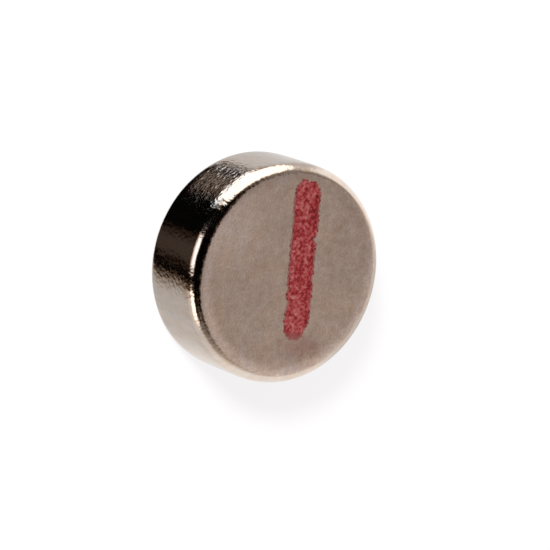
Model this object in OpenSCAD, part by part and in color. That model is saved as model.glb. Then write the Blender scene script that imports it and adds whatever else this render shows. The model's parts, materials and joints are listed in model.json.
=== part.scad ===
// Disc magnet: a plated cylinder that is short for its diameter, with both
// rims rounded over and one pole face marked with a stroke of a marker pen.
//
// Millimetres. The disc lies on its unmarked face with its axis along +Z, and
// the origin is the centre of that face. The stroke runs along Y on the upper
// face, a little to the +X side of the axis.

/* [Magnet] */
// Diameter of the disc
magnet_d = 8; // [7:0.5:25]
// Thickness from pole face to pole face
magnet_h = 3; // [1.5:0.25:12]
// Radius of the rounding on both rims
edge_r = 0.4; // [0.1:0.05:0.6]

/* [Pole mark] */
// Width of the pen stroke
mark_w = 1.2; // [0.4:0.1:1.4]
// Distance of the stroke's centre line from the axis
mark_x = 0.54; // [0:0.02:0.8]
// Gap between the stroke's +Y end and the edge of the flat face
mark_gap_far = 0.05; // [0.05:0.05:1]
// Gap between the stroke's -Y end and the edge of the flat face
mark_gap_near = 1.1; // [0.05:0.05:1.2]
// Thickness of the dried ink film
mark_t = 0.02; // [0.01:0.005:0.05]

/* [Hidden] */
// Outer radius of the disc
magnet_r = magnet_d / 2;
// Radius of the flat part of a pole face, inside the rounding
face_r = magnet_r - edge_r;
// Radius of the stroke's round ends
mark_r = mark_w / 2;
// Distance along Y from the axis to the centre of a round end of the stroke
// that stops a given gap short of the edge of the flat face
function mark_end(gap) = sqrt(pow(face_r - gap - mark_r, 2) - pow(mark_x, 2));
// Places of the centres of the two round ends along Y
mark_y_far = mark_end(mark_gap_far);
mark_y_near = -mark_end(mark_gap_near);
// Facets of the turned disc and of the stroke's ends
disc_fn = 128;
mark_fn = 48;

// The disc, turned in one piece: its half section is two crossed rectangles
// with a circle in each outer corner.
module magnet() {
    color([0.60, 0.54, 0.48])
        rotate_extrude($fn = disc_fn) {
            square([face_r, magnet_h]);
            translate([0, edge_r])
                square([magnet_r, magnet_h - 2 * edge_r]);
            for (z = [edge_r, magnet_h - edge_r])
                translate([face_r, z])
                    circle(edge_r);
        }
}

// The pen stroke: a straight film of ink with round ends that lies on the
// upper pole face.
module pole_mark() {
    color([0.65, 0.20, 0.25])
        translate([mark_x, 0, magnet_h])
            linear_extrude(mark_t, $fn = mark_fn) {
                translate([-mark_r, mark_y_near])
                    square([mark_w, mark_y_far - mark_y_near]);
                for (y = [mark_y_near, mark_y_far])
                    translate([0, y])
                        circle(mark_r);
            }
}

magnet();
pole_mark();
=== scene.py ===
"""Disc magnet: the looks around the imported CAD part.

Everything is in metres in the part's own frame: the disc lies on its unmarked
face, +Z is its axis, and the pen stroke runs along Y on the upper face.
"""
import json
import math
from collections import namedtuple

import bmesh
import bpy
from mathutils import Matrix, Vector, noise


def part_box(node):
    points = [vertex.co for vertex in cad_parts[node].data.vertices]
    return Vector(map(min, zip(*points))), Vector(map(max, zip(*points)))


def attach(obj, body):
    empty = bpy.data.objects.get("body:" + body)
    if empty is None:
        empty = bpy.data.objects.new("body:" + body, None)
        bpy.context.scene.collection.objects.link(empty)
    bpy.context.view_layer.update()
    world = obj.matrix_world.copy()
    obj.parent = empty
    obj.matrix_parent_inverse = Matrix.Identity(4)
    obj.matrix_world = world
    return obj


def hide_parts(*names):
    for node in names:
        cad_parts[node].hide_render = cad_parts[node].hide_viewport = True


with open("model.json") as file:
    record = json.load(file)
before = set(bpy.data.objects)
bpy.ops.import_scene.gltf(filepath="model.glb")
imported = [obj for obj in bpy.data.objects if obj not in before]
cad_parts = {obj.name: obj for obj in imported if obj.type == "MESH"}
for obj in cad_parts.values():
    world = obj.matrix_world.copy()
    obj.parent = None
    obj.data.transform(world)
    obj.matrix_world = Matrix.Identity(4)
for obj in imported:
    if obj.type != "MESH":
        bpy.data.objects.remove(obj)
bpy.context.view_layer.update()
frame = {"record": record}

MM = 0.001

# ---------------------------------------------------------------- dimensions

_, disc_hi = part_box("magnet")
mark_lo, mark_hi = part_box("pole_mark")
mounts = {mount["name"]: mount for mount in frame["record"]["mounts"]}
wall = mounts["rim"]["dims"]

DISC_R = wall["r_mm"] * MM
DISC_H = disc_hi.z
EDGE_R = (DISC_H - wall["length_mm"] * MM) / 2
FACE_R = DISC_R - EDGE_R
MARK_R = (mark_hi.x - mark_lo.x) / 2
MARK_X = (mark_hi.x + mark_lo.x) / 2

Ease = namedtuple("Ease", "width drop power")

# The face and the wall fall away ever faster towards the rounding between them, and meet it at a slope. An
# ease holds how wide this is, how far the surface has dropped at its end, and the power that it falls with.
FACE_EASE = Ease(0.45 * MM, 0.021 * MM, 3)
WALL_EASE = Ease(0.34 * MM, 0.0165 * MM, 2)
FACE_TURN, WALL_TURN = (math.atan(ease.power * ease.drop / ease.width) for ease in (FACE_EASE, WALL_EASE))

# The rounding: the share of the solids' edge that it takes, where it starts on the face, its radius, its
# middle, and where it ends on the wall
ROUND_SHARE = 0.825
ROUND_START = DISC_R - ROUND_SHARE * EDGE_R
ROUND_R = (DISC_R - WALL_EASE.drop - ROUND_START) / (math.cos(WALL_TURN) - math.sin(FACE_TURN))
ROUND_X = ROUND_START - ROUND_R * math.sin(FACE_TURN)
ROUND_Z = DISC_H - FACE_EASE.drop - ROUND_R * math.cos(FACE_TURN)
ROUND_END = ROUND_Z + ROUND_R * math.sin(WALL_TURN)

# Where the face stops being flat and where the wall starts to lean in
FLAT_R = ROUND_START - FACE_EASE.width
LEAN_Z = ROUND_END - WALL_EASE.width

# How the disc is cut up for its mesh
SEGMENTS = 480
FACE_RINGS = 14
EASE_RINGS = 16
EDGE_RINGS = 30
WALL_RINGS = 28

# Depth and grain of the unevenness that is modelled, in metres and per millimetre
WAVE_DEPTH = 0.0012 * MM
WAVE_GRAIN = 1.1
DENT_DEPTH = 0.0012 * MM
DENT_GRAIN = 3.0
# Keeps the dents from following the waves
DENT_SHIFT = Vector((17, 5, 3))

# The ink film: its thickness, how far its root is sunk, and where and to what share it thins at its edge
MARK_THICKNESS = 0.006 * MM
MARK_ROOT = 0.004 * MM
MARK_BEVEL = 0.05 * MM
MARK_EDGE = 0.3
# How the film is cut up for its mesh: its rings, and its rays along a side and round an end
MARK_RINGS = 10
MARK_SIDE_STEPS = 520
MARK_END_STEPS = 190
# Points of the film that are closer than this become one
MARK_MERGE = MARK_R * 1e-5
# How much of its half width the stroke fills along its sides and at its ends, before it is cut back to the
# mark's own box
SIDE_FILL = 0.95
END_FILL = 1.02
# How far the stroke's edge strays, as shares of its half width, and the grain of that per millimetre
FRAYS = ((0.05, 0.7), (0.07, 2.6), (0.09, 8.5))
# The height at which the noise of the frays is read
FRAY_SLICE = 4

Nick = namedtuple("Nick", "x y half depth")

# Where the edge is nicked, or bulges if the depth is negative: the place and half size in millimetres, and
# the depth as a share of the stroke's half width. The first three leave two prongs at the far end.
NICKS = (
    Nick(0.28, 3.49, 0.08, -0.12),
    Nick(0.62, 3.49, 0.16, 0.24),
    Nick(0.97, 3.32, 0.24, 0.10),
    Nick(1.14, 1.25, 0.14, 0.16),
    Nick(-0.06, -0.50, 0.10, 0.09),
    Nick(-0.06, -1.05, 0.15, 0.18),
    Nick(1.12, -2.15, 0.34, 0.20),
)

# -------------------------------------------------------------------- meshes


def unevenness(point):
    """How far the plated surface stands off the true form at a point, in metres. It never lies outside."""
    place = point / MM
    wave = noise.noise(place * WAVE_GRAIN)
    dent = noise.noise(place * DENT_GRAIN + DENT_SHIFT)
    return WAVE_DEPTH * (wave - 1) + DENT_DEPTH * (dent - 1)


def fall(ease, past):
    """How far a surface has fallen away at a distance past the start of its easing."""
    return ease.drop * (max(past, 0.0) / ease.width) ** ease.power


def face_drop(radius):
    """How far the face has fallen away at a radius."""
    return fall(FACE_EASE, radius - FLAT_R)


def section():
    """The disc's section, from the middle of the upper face to that of the lower.

    Each point is a radius and a height, with the outward normal's parts along the two.
    """
    radii = [FLAT_R * i / FACE_RINGS for i in range(FACE_RINGS)]
    radii += [FLAT_R + FACE_EASE.width * i / EASE_RINGS for i in range(EASE_RINGS)]
    points = [(radius, DISC_H - face_drop(radius), 0.0, 1.0) for radius in radii]
    for i in range(EDGE_RINGS):
        turn = FACE_TURN + (math.pi / 2 - WALL_TURN - FACE_TURN) * i / EDGE_RINGS
        nr, nz = math.sin(turn), math.cos(turn)
        points.append((ROUND_X + ROUND_R * nr, ROUND_Z + ROUND_R * nz, nr, nz))
    for i in range(WALL_RINGS):
        height = ROUND_END - (ROUND_END - DISC_H / 2) * i / WALL_RINGS
        points.append((DISC_R - fall(WALL_EASE, height - LEAN_Z), height, 1.0, 0.0))
    lower = [(radius, DISC_H - height, nr, -nz) for radius, height, nr, nz in reversed(points)]
    return points + [(DISC_R, DISC_H / 2, 1.0, 0.0)] + lower


def finish_mesh(name, bm, smooth=True):
    """An object from a bmesh, with outward normals."""
    bmesh.ops.recalc_face_normals(bm, faces=bm.faces)
    mesh = bpy.data.meshes.new(name)
    bm.to_mesh(mesh)
    bm.free()
    for face in mesh.polygons:
        face.use_smooth = smooth
    piece = bpy.data.objects.new(name, mesh)
    bpy.context.scene.collection.objects.link(piece)
    return piece


def disc_ring(bm, radius, height, nr, nz):
    """The points round the disc at one place on its section, or a single point on its axis."""
    ring = []
    for j in range(SEGMENTS if radius > 0 else 1):
        turn = math.tau * j / SEGMENTS
        out = Vector((math.cos(turn), math.sin(turn), 0))
        point = out * radius + Vector((0, 0, height))
        normal = out * nr + Vector((0, 0, nz))
        lift = unevenness(point)
        if height < EDGE_R / 2:
            # The lower face stays even, so that the disc lies flat
            lift *= nr
        ring.append(bm.verts.new(point + normal * lift))
    return ring


def join_rings(bm, upper, lower):
    """The faces between two neighbouring rings of the disc."""
    for j in range(SEGMENTS):
        k = (j + 1) % SEGMENTS
        if len(upper) == 1:
            bm.faces.new((upper[0], lower[j], lower[k]))
        elif len(lower) == 1:
            bm.faces.new((upper[j], lower[0], upper[k]))
        else:
            bm.faces.new((upper[j], lower[j], lower[k], upper[k]))


def make_disc():
    """The plated disc, turned from its section and made slightly uneven."""
    bm = bmesh.new()
    rings = [disc_ring(bm, *point) for point in section()]
    for upper, lower in zip(rings, rings[1:]):
        join_rings(bm, upper, lower)
    return finish_mesh("plated_disc", bm)


def face_height(x, y):
    """Height of the uneven upper face at a place on it."""
    height = DISC_H - face_drop(math.hypot(x, y))
    return height + unevenness(Vector((x, y, height)))


def stroke_rays():
    """Start and direction of the rays from the stroke's middle line to its edge, all the way round."""
    near, far = mark_lo.y + MARK_R, mark_hi.y - MARK_R
    rays = []
    for side, first, last in ((1, near, far), (-1, far, near)):
        for i in range(MARK_SIDE_STEPS):
            y = first + (last - first) * i / MARK_SIDE_STEPS
            rays.append((Vector((MARK_X, y)), Vector((side, 0))))
        for i in range(MARK_END_STEPS):
            turn = math.pi * i / MARK_END_STEPS
            rays.append((Vector((MARK_X, last)), side * Vector((math.cos(turn), math.sin(turn)))))
    return rays


def stroke_reach(start, way):
    """How far the stroke reaches from its middle line in one direction, with its frays and nicks."""
    place = (start + way * MARK_R) / MM
    reach = SIDE_FILL + (END_FILL - SIDE_FILL) * abs(way.y)
    for depth, grain in FRAYS:
        reach += depth * noise.noise(Vector((place.x * grain, place.y * grain, FRAY_SLICE)))
    for nick in NICKS:
        away = math.hypot(place.x - nick.x, place.y - nick.y)
        reach -= nick.depth * math.exp(-(away / nick.half) ** 2)
    box_edge = 1 / max(abs(way.x), abs(way.y))
    return MARK_R * min(reach, box_edge)


def film_rows(bm, rim, start, way):
    """The points on the film's top and on its root, from its middle line to its edge."""
    reach = stroke_reach(start, way)
    top_row, root_row = [], []
    for j in range(MARK_RINGS + 1):
        share = 1 - (1 - j / MARK_RINGS) ** 2
        x, y = start + way * reach * share
        z = face_height(x, y)
        to_rim = reach * (1 - share)
        body = MARK_EDGE + (1 - MARK_EDGE) * min(1.0, to_rim / MARK_BEVEL)
        top = bm.verts.new((x, y, z + MARK_THICKNESS * body))
        top[rim] = to_rim / MM
        top_row.append(top)
        root_row.append(bm.verts.new((x, y, z - MARK_ROOT)))
    return top_row, root_row


def make_mark():
    """The ink film: a thin closed sheet with a frayed edge that follows the uneven face.

    Its points carry how far they are from its edge, in millimetres, for the ink.
    """
    bm = bmesh.new()
    rim = bm.verts.layers.float.new("rim")
    rows = [film_rows(bm, rim, start, way) for start, way in stroke_rays()]
    for (top, root), (next_top, next_root) in zip(rows, rows[1:] + rows[:1]):
        for j in range(MARK_RINGS):
            bm.faces.new((top[j], top[j + 1], next_top[j + 1], next_top[j]))
            bm.faces.new((root[j], next_root[j], next_root[j + 1], root[j + 1]))
        bm.faces.new((top[-1], root[-1], next_root[-1], next_top[-1]))
    bmesh.ops.remove_doubles(bm, verts=bm.verts, dist=MARK_MERGE)
    return finish_mesh("ink_stroke", bm)


# --------------------------------------------------------------- node helper

# An eased change: as a value goes from low to high, the result goes from to_low to to_high
Step = namedtuple("Step", "low high to_low to_high", defaults=(0.0, 1.0))

# A noise to lay over others: its scale per millimetre, its detail, and its share
Layer = namedtuple("Layer", "scale detail share")

# A mix node has a set of sockets for each kind of value, all with the same names. These are their places.
Mix = namedtuple("Mix", "data_type factor a b result")
NUMBERS = Mix("FLOAT", 0, 2, 3, 0)
VECTORS = Mix("VECTOR", 1, 4, 5, 1)
COLOURS = Mix("RGBA", 0, 6, 7, 2)

# How rough the noises are that are laid over each other
LAYER_ROUGHNESS = 0.6


class Graph:
    """Short-hand for building a shader's node tree."""

    def __init__(self, owner):
        owner.use_nodes = True
        self.tree = owner.node_tree
        self.tree.nodes.clear()

    def add(self, kind, inputs=(), **settings):
        """Adds a node, sets its properties, and links or sets its inputs."""
        node = self.tree.nodes.new(kind)
        for name, value in settings.items():
            setattr(node, name, value)
        for name, value in dict(inputs).items():
            self.put(node.inputs[name], value)
        return node

    def put(self, socket, value):
        """Links a socket to another, or sets it to a plain value."""
        if isinstance(value, bpy.types.NodeSocket):
            self.tree.links.new(value, socket)
        else:
            socket.default_value = value

    def math(self, operation, *values):
        """The result of a sum on numbers."""
        node = self.add("ShaderNodeMath", operation=operation)
        for socket, value in zip(node.inputs, values):
            self.put(socket, value)
        return node.outputs[0]

    def vector(self, operation, *values, out="Vector"):
        """The result of a sum on vectors, which is a number if out is Value."""
        node = self.add("ShaderNodeVectorMath", operation=operation)
        for socket, value in zip(node.inputs, values):
            self.put(socket, value)
        return node.outputs[out]

    def step(self, value, change):
        """A value taken through an eased change."""
        node = self.add("ShaderNodeMapRange", {
            "Value": value, "From Min": change.low, "From Max": change.high,
            "To Min": change.to_low, "To Max": change.to_high,
        }, interpolation_type="SMOOTHSTEP")
        return node.outputs["Result"]

    def mix(self, kind, factor, first, second, **settings):
        """The second of two values of a kind laid over the first, as far as the factor says."""
        node = self.add("ShaderNodeMix", data_type=kind.data_type, **settings)
        self.put(node.inputs[kind.factor], factor)
        self.put(node.inputs[kind.a], first)
        self.put(node.inputs[kind.b], second)
        return node.outputs[kind.result]

    def multiplied(self, first, second):
        """A colour with each of its parts multiplied by that of another."""
        return self.mix(COLOURS, 1.0, first, second, blend_type="MULTIPLY")

    def noise(self, where, scale, detail=2.0, rough=0.5):
        """A cloudy pattern around 0.5."""
        node = self.add("ShaderNodeTexNoise", {"Vector": where, "Scale": scale,
                                               "Detail": detail, "Roughness": rough})
        return node.outputs["Fac"]

    def layered(self, where, layers):
        """Noises laid over each other, with 0.5 in the middle."""
        total = 0.5 - sum(layer.share for layer in layers) / 2
        for layer in layers:
            pattern = self.noise(where, layer.scale, layer.detail, LAYER_ROUGHNESS)
            total = self.math("MULTIPLY_ADD", pattern, layer.share, total)
        return total

    def ramp(self, value, stops):
        """The colour that a value has between (position, colour) stops."""
        node = self.add("ShaderNodeValToRGB", {"Fac": value})
        ramp = node.color_ramp
        while len(ramp.elements) < len(stops):
            ramp.elements.new(0.5)
        for element, (position, colour) in zip(ramp.elements, stops):
            element.position = position
            element.color = (*colour, 1)
        return node.outputs["Color"]

    def millimetres(self):
        """The place on the object, in millimetres."""
        place = self.add("ShaderNodeTexCoord").outputs["Object"]
        node = self.add("ShaderNodeVectorMath", {"Vector": place, "Scale": 1 / MM}, operation="SCALE")
        return node.outputs["Vector"]

    def stretched(self, vector, x, y, z):
        """A vector with each of its parts multiplied by a number."""
        return self.vector("MULTIPLY", vector, (x, y, z))

    def finish(self, surface, kind="ShaderNodeOutputMaterial"):
        """Makes a surface the output of the tree."""
        self.add(kind, {"Surface": surface})


# ----------------------------------------------------------------- materials


def tinted(colour, red, green, blue):
    """A colour with each of its parts made darker or lighter by a share."""
    return colour[0] * red, colour[1] * green, colour[2] * blue


def shaded(colour, share):
    """A colour made darker or lighter by a share."""
    return tinted(colour, share, share, share)


SATIN = (0.632, 0.499, 0.428)
BRIGHT = (0.625, 0.533, 0.465)

# The satin's mottle, and its drift between warm and cool
SATIN_TONE = (Layer(1.6, 3.0, 0.35), Layer(4.0, 3.0, 0.55), Layer(12.0, 3.0, 0.45))
SATIN_STOPS = (
    (0.32, tinted(SATIN, 0.80, 0.76, 0.74)),
    (0.50, SATIN),
    (0.68, tinted(SATIN, 1.20, 1.25, 1.28)),
)
SATIN_DRIFT = (Layer(0.9, 2.0, 0.6), Layer(3.2, 2.0, 0.5))
SATIN_DRIFT_STOPS = ((0.38, (1.02, 1.0, 0.965)), (0.62, (0.98, 1.0, 1.035)))
SATIN_ROUGHNESS = Step(0.36, 0.64, 0.47, 0.40)

# The bright plate's bands, which run along the disc's axis, and its drift between warm and cool
BAND_SCALE = (4.0, 4.0, 1.5)
BRIGHT_STOPS = ((0.3, shaded(BRIGHT, 0.92)), (0.7, shaded(BRIGHT, 1.06)))
BRIGHT_DRIFT_SCALE = 1.6
BRIGHT_DRIFT_STOPS = ((0.35, (1.0, 0.96, 0.92)), (0.65, (0.99, 1.01, 1.03)))
BRIGHT_ROUGHNESS = Step(0.3, 0.7, 0.08, 0.14)

# How far the satin reaches past the flat of the solids' face, and how ragged and how soft its edge is, in
# millimetres, and the scale of the raggedness per millimetre
SATIN_PAST = 0.05
SATIN_RAGGED = 0.18
SATIN_SOFT = 0.04
RAGGED_SCALE = 7.0
# The satin's edge draws back on this side: by how squarely a place faces it, in millimetres
BARE_SIDE = math.radians(156)
BARED = Step(0.79, 0.98, 0.0, 0.065)

# The relief of the plating: its depth, the scale of the satin's grain, and the bright metal's peel
RELIEF_DEPTH = 0.0072 * MM
SATIN_GRAIN_SCALE = 12.0
PEEL = (Layer(7.0, 1.0, 1.0), Layer(3.5, 1.0, 0.7))
# The peel is deepest on this side: its share of the depth, by how squarely a place faces it
PEEL_SIDE = math.radians(150)
PEELED = Step(-0.1, 0.6, 0.18, 1.0)

# Painted light: the satin's colour is painted paler towards its edge on one side, as a painted sheen, and
# painted darker there across from it, as painted shade. Both grow between these radii, in millimetres.
SHEEN_SIDE = math.radians(228)
SHEEN_RADII = Step(3.1, 3.55)
PAINTED_SHADE = (0.87, 0.87, 0.88)
PAINTED_SHEEN = (1.38, 1.42, 1.48)

Patch = namedtuple("Patch", "name x y half_x half_y tint")

# Soft patches on the marked face: their place and half size in millimetres, and what they do to each colour.
# The paler one is a painted sheen near the face's edge.
PATCHES = (
    Patch("paler painted sheen", -2.6, 1.8, 1.9, 1.7, (1.17, 1.20, 1.23)),
    Patch("duller", 2.6, 1.0, 1.5, 2.4, (0.92, 0.92, 0.92)),
    Patch("smeared ink", 0.9, -2.65, 1.3, 0.6, (0.88, 0.78, 0.77)),
)
# How much of a patch shows, by the distance from its middle as a share of its half size
PATCH_FADE = Step(0.3, 1.0, 1.0, 0.0)


def towards(g, place, azimuth):
    """How squarely the outward direction at a place faces an azimuth, from -1 to 1."""
    direction = g.vector("NORMALIZE", g.stretched(place, 1, 1, 0))
    return g.vector("DOT_PRODUCT", direction, (math.cos(azimuth), math.sin(azimuth), 0), out="Value")


def ragged_radius(g, place):
    """The distance from the disc's axis in millimetres, made ragged."""
    radius = g.vector("LENGTH", g.stretched(place, 1, 1, 0), out="Value")
    pattern = g.noise(place, RAGGED_SCALE, detail=3.0)
    ragged = g.math("MULTIPLY", g.math("SUBTRACT", pattern, 0.5), SATIN_RAGGED)
    return g.math("ADD", radius, ragged)


def bright_share(g, place, ragged):
    """How bright the plating is, from 0 on the satin to 1 on the bright plate."""
    satin_edge = FACE_R / MM + SATIN_PAST
    bared = g.step(towards(g, place, BARE_SIDE), BARED)
    return g.step(g.math("ADD", ragged, bared), Step(satin_edge - SATIN_SOFT, satin_edge + SATIN_SOFT))


def satin_with_painted_sheen(g, place, ragged, colour):
    """The satin's colour, with a painted sheen towards its edge on one side and painted shade across from it.
    """
    facing = g.math("MULTIPLY_ADD", towards(g, place, SHEEN_SIDE), 0.5, 0.5)
    painted_sheen_tint = g.mix(COLOURS, facing, (*PAINTED_SHADE, 1), (*PAINTED_SHEEN, 1))
    return g.mix(COLOURS, g.step(ragged, SHEEN_RADII), colour, g.multiplied(colour, painted_sheen_tint))


def satin_colour(g, place, tone, ragged):
    """The satin's mottled colour, with the painted sheen and shade at its edge and its patches."""
    colour = g.ramp(tone, SATIN_STOPS)
    drift = g.ramp(g.layered(place, SATIN_DRIFT), SATIN_DRIFT_STOPS)
    colour = satin_with_painted_sheen(g, place, ragged, g.multiplied(colour, drift))
    for patch in PATCHES:
        away = g.vector("SUBTRACT", place, (patch.x, patch.y, DISC_H / MM))
        away = g.stretched(away, 1 / patch.half_x, 1 / patch.half_y, 1)
        shown = g.step(g.vector("LENGTH", away, out="Value"), PATCH_FADE)
        colour = g.mix(COLOURS, shown, colour, g.multiplied(colour, (*patch.tint, 1)))
    return colour


def plate_colour(g, place, bands):
    """The bright plate's colour, with faint bands and a wandering warmth."""
    colour = g.ramp(bands, BRIGHT_STOPS)
    drift = g.ramp(g.noise(place, BRIGHT_DRIFT_SCALE), BRIGHT_DRIFT_STOPS)
    return g.multiplied(colour, drift)


def plating_relief(g, place, bright):
    """The normal of the plating, with the satin's grain and the bright metal's peel."""
    height = g.mix(NUMBERS, bright, g.noise(place, SATIN_GRAIN_SCALE), g.layered(place, PEEL))
    peeled = g.step(towards(g, place, PEEL_SIDE), PEELED)
    strength = g.math("MAXIMUM", peeled, g.math("SUBTRACT", 1.0, bright))
    bump = g.add("ShaderNodeBump", {"Strength": strength, "Distance": RELIEF_DEPTH, "Height": height})
    return bump.outputs["Normal"]


def nickel():
    """Nickel plate: satin on the two pole faces, bright with a fine peel on the rounding and the wall."""
    material = bpy.data.materials.new("nickel_plate")
    g = Graph(material)
    place = g.millimetres()
    ragged = ragged_radius(g, place)
    bright = bright_share(g, place, ragged)
    tone = g.layered(place, SATIN_TONE)
    bands = g.noise(g.stretched(place, *BAND_SCALE), 1.0, detail=3.0, rough=0.6)
    colour = g.mix(COLOURS, bright, satin_colour(g, place, tone, ragged), plate_colour(g, place, bands))
    satin_rough = g.step(tone, SATIN_ROUGHNESS)
    bright_rough = g.step(bands, BRIGHT_ROUGHNESS)
    shader = g.add("ShaderNodeBsdfPrincipled", {
        "Base Color": colour, "Metallic": 1.0,
        "Roughness": g.mix(NUMBERS, bright, satin_rough, bright_rough),
        "Normal": plating_relief(g, place, bright),
    })
    g.finish(shader.outputs["BSDF"])
    return material


# The ink by its tone, from its darkest to its palest
INK_STOPS = (
    (0.36, (0.15, 0.025, 0.022)),
    (0.45, (0.38, 0.030, 0.037)),
    (0.51, (0.525, 0.094, 0.104)),
    (0.57, (0.63, 0.19, 0.19)),
    (0.66, (0.67, 0.36, 0.33)),
)
INK_RELIEF = 0.008 * MM

# What makes up the tone: a base, and the scale per millimetre and the share of each pattern laid on it
TONE_BASE = 0.075
GRAIN_SCALE = 8.0
GRAIN_SHARE = 0.58
STREAK_SCALE = (6.0, 0.8, 1.0)
STREAK_SHARE = 0.10
CLOUD_SCALE = 3.0
CLOUD_SHARE = 0.26

# Where the ink is deepest along the stroke, and where it pooled in a line, in millimetres, each with how much
# it darkens the tone by the distance from there
DEEPEST_Y = 1.2
DEEPENED = Step(1.2, 3.4, -0.05, -0.03)
POOLED_X = 0.92
POOLED = Step(0.02, 0.14, -0.04, 0.0)

# The stroke's near end runs dry between these places along it, in millimetres
DRY_END = Step(-2.42, -1.95, 1.0, 0.0)

# Dots darken the tone at the rim and where the ink ran dry. The satin shows through gaps at the rim, which
# the dots hold closed, and thinly where the ink ran dry. Both go by the distance from the rim in millimetres.
DOT_SCALE = 8.0
DOTS = Step(0.50, 0.60)
DOTTED_RIM = Step(0.03, 0.14, 1.0, 0.0)
DOT_TONE = -0.16
DOT_HOLD = 0.06
GAPS = Step(0.0, 0.12, 0.8, 0.0)
DRY_BARE = 0.4
BARE_SATIN = (*shaded(SATIN, 0.68), 1)


def away_from(g, along, middle):
    """How far a coordinate is from a middle."""
    return g.math("ABSOLUTE", g.math("SUBTRACT", along, middle))


def ink_tone(g, place, grain, x, y):
    """How dark or pale the ink is, before its edge: grainy, streaked along the stroke and cloudy."""
    streaks = g.noise(g.stretched(place, *STREAK_SCALE), 1.0)
    tone = g.math("MULTIPLY_ADD", grain, GRAIN_SHARE, TONE_BASE)
    tone = g.math("MULTIPLY_ADD", streaks, STREAK_SHARE, tone)
    tone = g.math("MULTIPLY_ADD", g.noise(place, CLOUD_SCALE), CLOUD_SHARE, tone)
    tone = g.math("ADD", tone, g.step(away_from(g, y, DEEPEST_Y), DEEPENED))
    return g.math("ADD", tone, g.step(away_from(g, x, POOLED_X), POOLED))


def ink():
    """Dried marker ink: a grainy, streaked red dye, with dark dots and gaps at its edge and its dry end."""
    material = bpy.data.materials.new("marker_ink")
    g = Graph(material)
    place = g.millimetres()
    parts = g.add("ShaderNodeSeparateXYZ", {"Vector": place}).outputs
    grain = g.noise(place, GRAIN_SCALE, detail=3.0, rough=0.65)
    rim = g.add("ShaderNodeAttribute", attribute_name="rim").outputs["Fac"]
    dots = g.step(g.noise(place, DOT_SCALE, detail=1.0), DOTS)
    dry = g.step(parts["Y"], DRY_END)
    dotted = g.math("MULTIPLY", dots, g.math("MAXIMUM", g.step(rim, DOTTED_RIM), dry))
    tone = g.math("ADD", ink_tone(g, place, grain, parts["X"], parts["Y"]),
                  g.math("MULTIPLY", dotted, DOT_TONE))
    gaps = g.step(g.math("MULTIPLY_ADD", dots, DOT_HOLD, rim), GAPS)
    bare = g.math("MAXIMUM", gaps, g.math("MULTIPLY", dry, DRY_BARE))
    colour = g.mix(COLOURS, bare, g.ramp(tone, INK_STOPS), BARE_SATIN)
    bump = g.add("ShaderNodeBump", {"Strength": 1.0, "Distance": INK_RELIEF, "Height": grain})
    shader = g.add("ShaderNodeBsdfPrincipled", {
        "Base Color": colour, "Metallic": 0.9,
        "Roughness": 0.55, "Normal": bump.outputs["Normal"],
    })
    g.finish(shader.outputs["BSDF"])
    return material


# --------------------------------------------------------------------- stage

WHITE = (1.0, 1.0, 1.0)
WARM = (1.0, 0.9, 0.83)
BROWN = (1.0, 0.78, 0.66)
COOL = (0.94, 1.0, 1.1)

# The room between the lights, and the powers that red and blue fade with at a light's edge
ROOM = (0.0015, 0.001, 0.001)
RED_POWER, BLUE_POWER = 0.85, 1.15

Card = namedtuple("Card", "name left right bottom top level colour tilt", defaults=(WHITE, 0))
Glow = namedtuple("Glow", "name middle half soft level tilt", defaults=(0,))

# The soft cards and glows all round the part, painted over each other in this order, in degrees as seen from
# the part: azimuth 0 is along +X and 90 along +Y. A card has an azimuth or elevation for each edge, with how
# far it fades to either side. A glow is oval, and fades by a share of its size. Each is turned by its tilt.
LIGHTS = (
    Card("glow under the ceiling", (-113, 16), (98, 16), (-75, 8), (63, 8), 0.31, WARM),
    Card("white table", (-125, 12), (60, 6), (-104, 14), (36, 15), 0.74),
    Card("end of the table", (-148, 13), (-115, 10), (-104, 14), (4, 10), 0.66, WHITE, 6),
    Card("back of the table", (-155, 5), (-90, 10), (-38, 16), (24, 14), 0.88),
    Glow("lit sweep", (-52, -2), (50, 50), 0.32, 1.20, -8),
    Card("gap between the sweeps", (-34, 8), (0, 9), (-62, 6), (34, 22), 0.84),
    Glow("lit sweep on the right", (20, -5), (21.5, 43), 0.30, 1.34, -16),
    Card("softbox", (62, 5), (126.5, 7), (-62.5, 3), (56, 8), 2.2, WHITE, 11.5),
    Card("cut corner of the softbox", (128, 6), (156.5, 3), (-10, 8), (88, 8), 0.002, WHITE, 48),
    Card("shade beside the softbox", (122.5, 6), (152, 4), (-92, 8), (30, 10), 0.002, WHITE, -5),
    Card("shade under the softbox", (65.5, 6), (150, 4), (-92, 8), (-50.2, 1.8), 0.002, WHITE, 5),
    Card("dim apron of the softbox", (83, 11), (109, 9), (-55.5, 5), (-52, 1.8), 0.28, WARM, 5),
    Card("brown gap under the strip", (161, 10), (185, 9), (-92, 8), (-28, 10), 0.065, BROWN),
    Card("white strip", (155.5, 4), (184.5, 5), (-15, 24), (28, 9), 2.2, COOL, -2),
    Card("slanting strip", (-155, 4), (-132, 7), (0, 8), (35, 6), 2.3, WHITE, -18),
)


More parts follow.
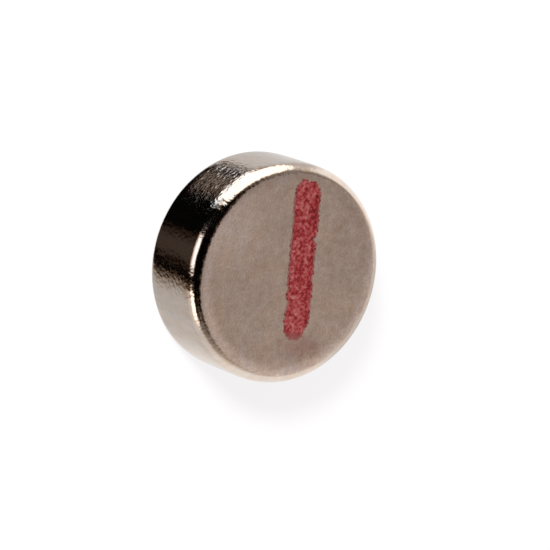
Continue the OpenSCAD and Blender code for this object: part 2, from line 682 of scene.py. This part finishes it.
def seen_from(g, direction, middle, tilt):
    """How far a direction lies across and above a tilted light's middle, in degrees."""
    turned = g.add("ShaderNodeVectorRotate", {"Vector": direction, "Angle": math.radians(-middle[0])},
                   rotation_type="Z_AXIS").outputs[0]
    parts = g.add("ShaderNodeSeparateXYZ", {"Vector": turned}).outputs
    per_radian = 180 / math.pi
    along = g.math("MULTIPLY", g.math("ARCTAN2", parts["Y"], parts["X"]), per_radian)
    above = g.math("SUBTRACT", g.math("MULTIPLY", g.math("ARCSINE", parts["Z"]), per_radian), middle[1])
    sine, cosine = math.sin(math.radians(tilt)), math.cos(math.radians(tilt))
    across = g.math("ADD", g.math("MULTIPLY", along, cosine), g.math("MULTIPLY", above, sine))
    up = g.math("SUBTRACT", g.math("MULTIPLY", above, cosine), g.math("MULTIPLY", along, sine))
    return across, up


def inside_card(g, direction, card):
    """How much of a card is seen in a direction, from 0 to 1."""
    middle = ((card.left[0] + card.right[0]) / 2, (card.bottom[0] + card.top[0]) / 2)
    across, up = seen_from(g, direction, middle, card.tilt)
    inside = 1.0
    for way, low, high, centre in ((across, card.left, card.right, middle[0]),
                                   (up, card.bottom, card.top, middle[1])):
        for (edge, soft), before, after in ((low, 0.0, 1.0), (high, 1.0, 0.0)):
            fade = Step(edge - centre - soft, edge - centre + soft, before, after)
            inside = g.math("MULTIPLY", g.step(way, fade), inside)
    return inside


def inside_glow(g, direction, glow):
    """How much of an oval glow is seen in a direction, from 0 to 1."""
    across, up = seen_from(g, direction, glow.middle, glow.tilt)
    place = g.add("ShaderNodeCombineXYZ", {"X": g.math("DIVIDE", across, glow.half[0]),
                                           "Y": g.math("DIVIDE", up, glow.half[1])}).outputs[0]
    distance = g.vector("LENGTH", place, out="Value")
    return g.step(distance, Step(1 - glow.soft, 1 + glow.soft, 1.0, 0.0))


def warm_share(g, inside):
    """The share of red, green and blue at a light's soft edge: red lasts longest and blue goes first."""
    red, blue = (g.math("POWER", inside, power) for power in (RED_POWER, BLUE_POWER))
    return g.add("ShaderNodeCombineXYZ", {"X": red, "Y": inside, "Z": blue}).outputs[0]


def make_world():
    """A dark room with cards and glows for the part to mirror. The camera sees white instead."""
    world = bpy.data.worlds.new("studio")
    bpy.context.scene.world = world
    g = Graph(world)
    direction = g.add("ShaderNodeTexCoord").outputs["Generated"]
    picture = ROOM
    for light in LIGHTS:
        if isinstance(light, Card):
            inside, colour = inside_card(g, direction, light), light.colour
        else:
            inside, colour = inside_glow(g, direction, light), WHITE
        picture = g.mix(VECTORS, warm_share(g, inside), picture, shaded(colour, light.level),
                        factor_mode="NON_UNIFORM")
    is_camera = g.add("ShaderNodeLightPath").outputs["Is Camera Ray"]
    seen = g.mix(COLOURS, is_camera, picture, (*WHITE, 1))
    g.finish(g.add("ShaderNodeBackground", {"Color": seen}).outputs[0], "ShaderNodeOutputWorld")


# The floor: half its side, its dark paint, and the pale light that only the camera sees from it
FLOOR_HALF = 0.3
FLOOR_PAINT = (0.12, 0.12, 0.12, 1)
FLOOR_LIGHT = (1, 0.985, 1, 1)
FLOOR_STRENGTH = 0.835


def floor_white():
    """Dark paint that takes a shadow, with a light that only the camera sees. It is clear from below."""
    material = bpy.data.materials.new("floor_white")
    g = Graph(material)
    is_camera = g.add("ShaderNodeLightPath").outputs["Is Camera Ray"]
    paint = g.add("ShaderNodeBsdfDiffuse", {"Color": FLOOR_PAINT}).outputs[0]
    strength = g.math("MULTIPLY", is_camera, FLOOR_STRENGTH)
    light = g.add("ShaderNodeEmission", {"Color": FLOOR_LIGHT, "Strength": strength}).outputs[0]
    both = g.add("ShaderNodeAddShader")
    g.put(both.inputs[0], paint)
    g.put(both.inputs[1], light)
    below = g.add("ShaderNodeNewGeometry").outputs["Backfacing"]
    sides = g.add("ShaderNodeMixShader", {"Fac": below})
    g.put(sides.inputs[1], both.outputs[0])
    g.put(sides.inputs[2], g.add("ShaderNodeBsdfTransparent").outputs[0])
    g.finish(sides.outputs[0])
    return material


def make_floor():
    """A floor that keeps the part's shadow, reads white to the camera and is hidden from the metal."""
    bm = bmesh.new()
    bmesh.ops.create_grid(bm, x_segments=2, y_segments=2, size=FLOOR_HALF)
    floor = finish_mesh("floor", bm, smooth=False)
    floor.data.materials.append(floor_white())
    floor.visible_glossy = False


def outward(azimuth, elevation):
    """The direction from the part at an azimuth and an elevation in degrees."""
    a, e = math.radians(azimuth), math.radians(elevation)
    return Vector((math.cos(a) * math.cos(e), math.sin(a) * math.cos(e), math.sin(e)))


def make_lamp(name, azimuth, elevation, distance, size, watts):
    """A soft lamp that points at the part, for the floor and the ink. The metal doesn't mirror it."""
    data = bpy.data.lights.new(name, "AREA")
    data.shape = "DISK"
    data.size = size
    data.energy = watts
    lamp = bpy.data.objects.new(name, data)
    bpy.context.scene.collection.objects.link(lamp)
    out = outward(azimuth, elevation)
    lamp.location = out * distance
    lamp.rotation_euler = out.to_track_quat("Z", "Y").to_euler()
    lamp.visible_glossy = False


# -------------------------------------------------------------------- camera

# Where the camera stands as seen from the part, and how far it is rolled about its own axis, in degrees
CAMERA_AZIMUTH = 161.77
CAMERA_ELEVATION = 54.45
CAMERA_ROLL = 110.19
CAMERA_DISTANCE = 118.6 * MM
# Blender takes these two in millimetres
CAMERA_LENS = 217.2
CAMERA_SENSOR = 36
# Nothing nearer to the camera than this is drawn
CAMERA_NEAREST = 1 * MM
# How far the part's middle lies to the left of and above the middle of the picture
AIM_LEFT = 0.355 * MM
AIM_ABOVE = 0.298 * MM


def make_camera():
    """A long lens that looks down on the disc, rolled so that the stroke stands upright in the picture."""
    back = outward(CAMERA_AZIMUTH, CAMERA_ELEVATION)
    level_right = Vector((0, 0, 1)).cross(back).normalized()
    right = Matrix.Rotation(math.radians(CAMERA_ROLL), 3, back) @ level_right
    up = back.cross(right)
    aim = Vector((0, 0, DISC_H / 2)) + right * AIM_LEFT - up * AIM_ABOVE
    data = bpy.data.cameras.new("camera")
    data.sensor_width = CAMERA_SENSOR
    data.lens = CAMERA_LENS
    data.clip_start = CAMERA_NEAREST
    camera = bpy.data.objects.new("camera", data)
    turn = Matrix((right, up, back)).transposed().to_4x4()
    camera.matrix_world = Matrix.Translation(aim + back * CAMERA_DISTANCE) @ turn
    bpy.context.scene.collection.objects.link(camera)
    bpy.context.scene.camera = camera


# --------------------------------------------------------------------- build

make_camera()
make_world()
make_floor()
make_lamp("key", azimuth=138, elevation=40, distance=0.5, size=0.12, watts=4.5)

disc = make_disc()
disc.data.materials.append(nickel())
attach(disc, "root")
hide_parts("magnet")

mark = make_mark()
mark.data.materials.append(ink())
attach(mark, "root")
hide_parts("pole_mark")

scene = bpy.context.scene
scene.view_settings.view_transform = "Standard"
